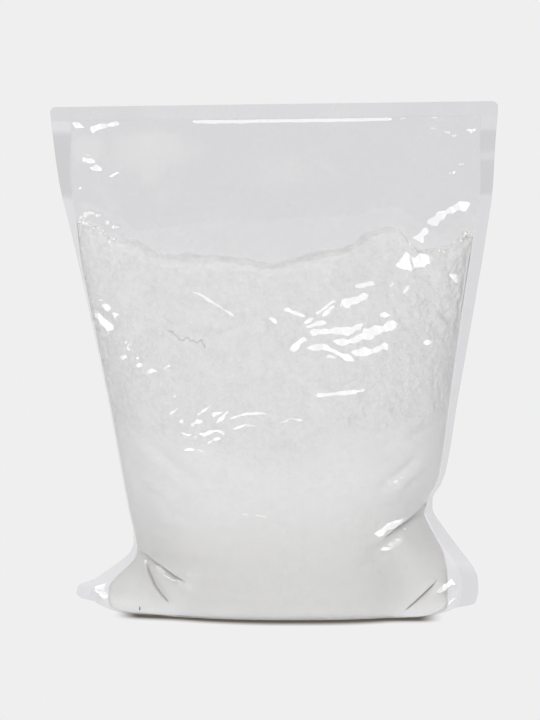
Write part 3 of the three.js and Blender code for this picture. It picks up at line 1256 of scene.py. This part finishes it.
@dataclass
class Sugar:
    """The powder that fills the pouch, up to its uneven top."""

    columns: int = 127
    rows: int = 156
    top_rows: int = 16  # rows laid over the powder's top
    form: PouchForm = PouchForm(inset=0.45)
    left_limit: float = 82.0  # the left bottom corner of the pouch is empty past this
    right_limit: float = 86.0  # and the right one past this
    squeeze: float = 8.0  # over what width the powder is pressed together there
    low_left: Point = (26, 18)  # between these heights that starts and is full, on the left
    low_right: Point = (46, 36)  # and on the right

    # In the photograph: the line below which the powder has settled, how far past it faces are split, and
    # where it has slumped away from the film (the places across it starts and is full, then the middle
    # down and how far it reaches).
    settled: Stations = Stations(((120, 432), (200, 452), (290, 474), (330, 450), (400, 436), (470, 400)))
    split_past: float = 8.0
    slumped: tuple[Point, Point] = ((385, 415), (295, 50))

    def build(self) -> bpy.types.Object:
        """Builds the powder.

        Returns:
            The powder's object.
        """
        piece = Piece("powdered_sugar")
        piece.sheets(self.columns, self.rows + self.top_rows)
        for side, finest in ((-1.0, False), (1.0, False), (-1.0, True)):
            piece.split(side, partial(self.to_split, back=side, finest=finest))
        plane, back = piece.plane()
        across, row = self.unfolded(plane)
        points = self.form.points(across, row, back)
        seen = seen_on_front(points, back)
        crack_and_shade = self.crack_amount(seen) * (back < 0)
        rough = self.rough_amount(seen, back)
        lift = relief(seen) - 0.4 * crack_and_shade - self.roughness(points, seen, rough)
        lift *= np.clip((0.999 - np.abs(across)) / 0.03, 0, 1) * ramp(row, 0, 4)
        # From here the amount only darkens the powder's colour: painted shade in the crack and in the tucks'
        # narrow mouths.
        crack_and_shade *= 0.65
        for tuck in TUCKS:
            crack_and_shade = np.maximum(crack_and_shade, tuck.shade(seen))
        moved = self.limited(points + self.form.outward(across, row, back) * lift[:, None])
        points = self.heaped(moved, self.limited(points), plane)
        rim = (plane[:, 0] < 0.5) | (plane[:, 0] > self.columns - 1.5)
        rim |= (plane[:, 1] < 0.5) | (plane[:, 1] > self.rows + self.top_rows - 1.5)
        points[rim, 1] = -self.form.lean(np.sin(across * math.pi / 2), row)[rim]
        piece.shape(points, {"crack_and_shade": crack_and_shade, "rough": rough}, rim, 0.001)
        return piece.to_object()

    def unfolded(self, plane: Array) -> tuple[Array, Array]:
        """Places across and rows of points on the plane of column and row numbers.

        Args:
            plane: the points' places on the plane.

        Returns:
            The places across and the rows, which stop at the powder's line.
        """
        across = (plane[:, 0] / (self.columns - 1) * 2 - 1) * 0.999
        share = np.minimum(1.0, plane[:, 1] / (self.rows - 1))
        rows, length = self.form.lengths(1500)
        return across, np.interp(share * np.interp(self.form.sugar_rows(across), rows, length), length, rows)

    def to_split(self, centres: Array, back: float, finest: bool) -> Array:
        """Which faces to split, clear of the edges that are joined later.

        Args:
            centres: the faces' centres on the plane.
            back: which sheet they are on.
            finest: choose only along the tucks and the powder's cracked line, and not all rough powder.

        Returns:
            A mask of the faces.
        """
        across, row = self.unfolded(centres)
        seen = seen_on_front(self.form.points(across, row, np.full(len(row), back)), back)
        chosen = close_to(seen, [(t.line, 1.8 if finest else 5.0) for t in TUCKS])
        if finest:
            chosen |= close_to(seen, [(CRACK, 1.6)])
        elif back < 0:
            chosen |= (seen[:, 1] < self.settled.at(seen[:, 0]) + self.split_past) & (row > 20)
        chosen &= (centres[:, 0] > 2) & (centres[:, 0] < self.columns - 3)
        return chosen & (centres[:, 1] > 2) & (centres[:, 1] < self.rows + self.top_rows - 3)

    def rough_amount(self, seen: Array, back: Array) -> Array:
        """How lumpy the powder is at places in the photograph: 1 near its top and 0 where it has settled."""
        below = (seen[:, 1] - self.settled.at(seen[:, 0])) * PIXEL
        return np.clip(0.25 - below / 10, 0, 1) * np.where(back < 0, 1.0, 0.6)

    def roughness(self, points: Array, seen: Array, rough: Array) -> Array:
        """How far the powder's surface lies inside the film because it is lumpy.

        Args:
            points: the powder's points.
            seen: where they show in the photograph.
            rough: how lumpy the powder is there.

        Returns:
            The depth at each point.
        """
        under_line = np.clip((seen[:, 1] - SUGAR_LINE.at(seen[:, 0])) * PIXEL, 0, None)
        (start, full), (middle, reach) = self.slumped
        slump = ramp(seen[:, 0], start, full) * np.exp(-(((seen[:, 1] - middle) / reach) ** 2))
        flat = points * np.array([0.9, 1, 1.15])
        waves = 0.8 * noise_at(flat, 11.0, 5.0) - 0.9 * np.abs(noise_at(flat, 6.0, 2.0))
        lumps = 1 + 1.6 * noise_at(points, 6.5, 11.0) + 0.8 * noise_at(points, 3.2, 3.0)
        warped = points + 2.0 * noise_at(points, 3.0, 6.0)[:, None]
        grooves = np.exp(-((noise_at(warped, 8.0, 9.0) / 0.07) ** 2)) * (noise_at(points, 14.0, 7.0) > -0.05)
        surface = 1.0 + waves + 0.9 * noise_at(points, 2.6, 8.0) + 0.9 * grooves
        loose = (0.15 * np.exp(-under_line / 9) + 0.8 * slump) * lumps
        return np.maximum(0, rough * 0.5 * surface + 0.05 * waves + loose)

    def limited(self, points: Array) -> Array:
        """The points, with the powder kept out of the pouch's empty bottom corners.

        Args:
            points: the powder's points.

        Returns:
            The points moved inwards.
        """
        x = points[:, 0]
        ends = (-1, self.left_limit, self.low_left), (1, self.right_limit, self.low_right)
        for side, limit, low in ends:
            start = limit - self.squeeze
            past = np.maximum(0, side * x - start)
            squeezed = side * (start + self.squeeze * np.tanh(past / self.squeeze))
            x = np.where(past > 0, x + (squeezed - x) * ramp(points[:, 2], *low), x)
        return np.stack([x, points[:, 1], points[:, 2]], axis=1)

    def heaped(self, points: Array, even: Array, plane: Array) -> Array:
        """The points, with the rows past the powder's line laid over its top.

        Args:
            points: the powder's surface.
            even: the same surface before it was made rough.
            plane: the points' places on the plane.

        Returns:
            The points on the closed heap.
        """
        t = np.clip((plane[:, 1] - (self.rows - 1)) / self.top_rows, 0, 1)[:, None]
        base = points + (even - points) * t
        rise = np.sin(t[:, 0] * math.pi / 2)
        reach = np.abs(even[:, 1])
        base[:, 1] *= np.sqrt(np.maximum(0.0, 1 - rise * rise))
        free = ramp(np.abs(plane[:, 0] / (self.columns - 1) * 2 - 1), 1, 0.92)
        crown = np.minimum(1.8, 0.3 * reach) * (1 + 0.6 * noise_at(base, 16.0, 4.0))
        lumps = 1.6 * noise_at(base, 5.0, 1.0) * np.minimum(1.0, 3 * rise) * np.minimum(1.0, reach / 6)
        base[:, 2] += np.where(rise > 0, (crown * rise + lumps) * free, 0.0)
        return base

    def crack_amount(self, seen: Array) -> Array:
        """How deep the powder is cracked at places in the photograph, from 0 to 1."""
        gap, along, length = beside(seen, CRACK)
        ends = np.clip(np.minimum(along, length - along) / (3 * PIXEL) + 0.3, 0, 1)
        return ends * np.clip(1.1 - np.abs(gap) / (1.4 * PIXEL), 0, 1)


@dataclass
class Crumbs:
    """Small lumps of powder that lie along the ends of the powder's top."""

    count: int = 130
    seed: int = 7
    smallest: float = 0.4
    largest: float = 1.5
    form: PouchForm = PouchForm(inset=1.2)

    def build(self) -> bpy.types.Object:
        """Builds the crumbs as one piece.

        Returns:
            The crumbs' object.
        """
        rng = random.Random(self.seed)
        piece = Piece("sugar_crumbs")
        ends = ((-0.93, -0.6), (0.45, 0.93))
        across = np.array([rng.uniform(*ends[i % 2]) for i in range(self.count)])
        rows = self.form.sugar_rows(across) + np.array([rng.uniform(-1.0, 2.5) for _ in across])
        for centre in self.form.points(across, rows, np.full(self.count, -1.0)):
            radius = self.smallest + (self.largest - self.smallest) * rng.random() ** 2.5
            turn = Matrix.Rotation(rng.uniform(0, 6.28), 4, "Z") @ Matrix.Rotation(rng.random() * 3, 4, "X")
            shape = turn @ Matrix.Diagonal((1, rng.uniform(0.7, 1), rng.uniform(0.6, 0.95), 1))
            piece.ball(1, radius, partial(self.placed, shape=shape, centre=Vector(centre)))
        return piece.to_object()

    def placed(self, co: Vector, shape: Matrix, centre: Vector) -> Vector:
        """Where a point of a ball goes so that the ball is a bumpy crumb."""
        return shape @ (co * (1 + 0.25 * noise.noise(co * 1.7 + centre))) + centre


@dataclass
class Speck:
    """A speck of dirt near the left end of the base."""

    across: float = -0.6
    row: float = 2.5
    size: tuple[float, float, float] = (0.28, 0.15, 1.0)

    def build(self) -> bpy.types.Object:
        """Builds the speck.

        Returns:
            The speck's object.
        """
        spot = (np.array([value]) for value in (self.across, self.row, -1.0))
        place = Vector(PouchForm().points(*spot)[0])
        shape = Matrix.Diagonal(self.size)
        piece = Piece("speck")
        piece.ball(2, 1.0, lambda co: shape @ (co * (1 + 0.3 * noise.noise(co * 1.5))) + place)
        return piece.to_object()


# ---------------------------------------------------------------- the studio


@dataclass(frozen=True)
class Softbox:
    """A rectangular light that faces the pouch, placed by angles seen from it, in degrees."""

    name: str
    azimuth: float  # 0 is in front of the pouch, and 90 to its right
    elevation: float
    half_across: float
    half_up: float
    radiance: float
    in_gloss: bool
    distance: float = 1.6

    def build(self, centre: Vector) -> None:
        """Makes the light.

        Args:
            centre: what it faces.
        """
        a, e = math.radians(self.azimuth), math.radians(self.elevation)
        away = Vector((math.sin(a) * math.cos(e), -math.cos(a) * math.cos(e), math.sin(e)))
        light = bpy.data.lights.new(self.name, "AREA")
        light.shape = "RECTANGLE"
        light.size = 2 * self.distance * math.tan(math.radians(self.half_across))
        light.size_y = 2 * self.distance * math.tan(math.radians(self.half_up))
        light.energy = self.radiance * light.size * light.size_y * 4
        obj = bpy.data.objects.new(self.name, light)
        obj.location = centre + away * self.distance
        obj.rotation_euler = (-away).to_track_quat("-Z", "Y").to_euler()
        obj.visible_camera = obj.visible_transmission = False
        obj.visible_glossy, obj.visible_diffuse = self.in_gloss, not self.in_gloss
        bpy.context.scene.collection.objects.link(obj)


@dataclass(frozen=True)
class Studio:
    """A pale floor that runs into a pale background, soft light, and softboxes that only gloss shows."""

    background: float = 0.863
    ambient: float = 0.21
    side_glow: float = 0.04  # how much brighter the surroundings are at the pouch's two sides
    top_glow: float = 0.32  # and straight above it
    in_gloss: float = 0.3  # what gloss shows of the surroundings in front of the pouch
    floor_drop: float = 0.3
    floor_size: float = 12000.0
    shadow_reach: float = 0.0063  # metres
    shadow: Colour = (0.1, 0.08, 0.062)
    shadow_ends: tuple[float, float] = (-0.07, 0.074)  # metres; the ears are too high to cast a shadow

    def build(self) -> None:
        """Makes the world, the floor and the lights."""
        self.world()
        self.floor()
        scene = bpy.context.scene
        scene.view_settings.view_transform = "Standard"
        scene.view_settings.look = "None"
        scene.cycles.transparent_max_bounces = 24
        for box in (
            Softbox("key_front", -5, 27, 14, 15, 5.2, False),
            Softbox("key_back", 172, 27, 15, 15, 4.5, False),
            Softbox("gloss_top_front", 0, 64, 42, 25, 2.6, True),
            Softbox("gloss_left", -66, 47, 30, 15, 2.4, True),
            Softbox("gloss_right", 62, 47, 26, 15, 2.4, True),
            Softbox("gloss_top_back", 180, 64, 32, 24, 2.6, True),
        ):
            box.build(Vector((0, 0, 0.12)))

    def world(self) -> None:
        """Makes the world: the background that the camera sees, and a dimmer one that lights."""
        world = bpy.data.worlds.new("studio")
        bpy.context.scene.world = world
        shader = Shader(world)
        camera = shader.node("ShaderNodeLightPath", output="Is Camera Ray")
        glossy = shader.node("ShaderNodeLightPath", output="Is Glossy Ray")
        direction = shader.node("ShaderNodeTexCoord", output="Generated")
        to_back = direction.axis("Y").steps(-0.1, 0.5)
        mirrored = self.in_gloss + (self.background - self.in_gloss) * to_back
        around = self.ambient + self.side_glow * direction.axis("X").absolute().steps(0.7, 1.0)
        around = around + self.top_glow * direction.axis("Z").steps(0.6, 1.0)
        strength = around + glossy * (mirrored - around)
        strength = strength + camera * (self.background - strength)
        light = shader.node("ShaderNodeBackground", None, {"Color": WHITE, "Strength": strength})
        shader.finish(light, "ShaderNodeOutputWorld")

    def floor(self) -> None:
        """Makes the floor, as bright as the background and dark only where the pouch is very near."""
        piece = Piece("floor")
        bmesh.ops.create_grid(piece.bm, x_segments=1, y_segments=1, size=self.floor_size / 2)
        bmesh.ops.translate(piece.bm, verts=piece.bm.verts, vec=(0, 0, -self.floor_drop))
        obj = piece.to_object()
        shader, material = Shader.material("pale_floor")
        sockets = {"Color": WHITE, "Distance": self.shadow_reach}
        open_sky = shader.node("ShaderNodeAmbientOcclusion", {"samples": 8}, sockets, "AO")
        x = shader.place().axis("X")
        left, right = self.shadow_ends
        between = x.steps(left - 0.01, left + 0.004) * (1 - x.steps(right - 0.004, right + 0.01))
        shadow = ((1 - open_sky) * 1.05 * between).clamped()
        colour = shader.tint(shadow, (self.background,) * 3, self.shadow)
        shader.finish(shader.node("ShaderNodeEmission", None, {"Color": colour}))
        obj.data.materials.append(material)
        obj.visible_glossy = False


def dress(obj: bpy.types.Object, material: bpy.types.Material) -> None:
    """Gives a piece its finish, ties it to the part and reports it.

    Args:
        obj: the piece.
        material: its finish.
    """
    obj.data.materials.append(material)
    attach(obj, BODY)
    LOG.info("%s: %d faces", obj.name, len(obj.data.polygons))


def main() -> None:
    """Builds the pouch and its studio."""
    logging.basicConfig(level=logging.INFO, format="%(message)s")
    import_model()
    PHOTO.make_camera()
    film = Film().build()
    dress(film, FilmFinish().make())
    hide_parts(CAD_NODE)
    powder = PowderFinish().make()
    sugar = Sugar().build()
    dress(sugar, powder)
    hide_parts(CAD_NODE)
    dress(Crumbs().build(), powder)
    dress(Speck().build(), SpeckFinish().make())
    Studio().build()


if __name__ == "__main__":
    main()
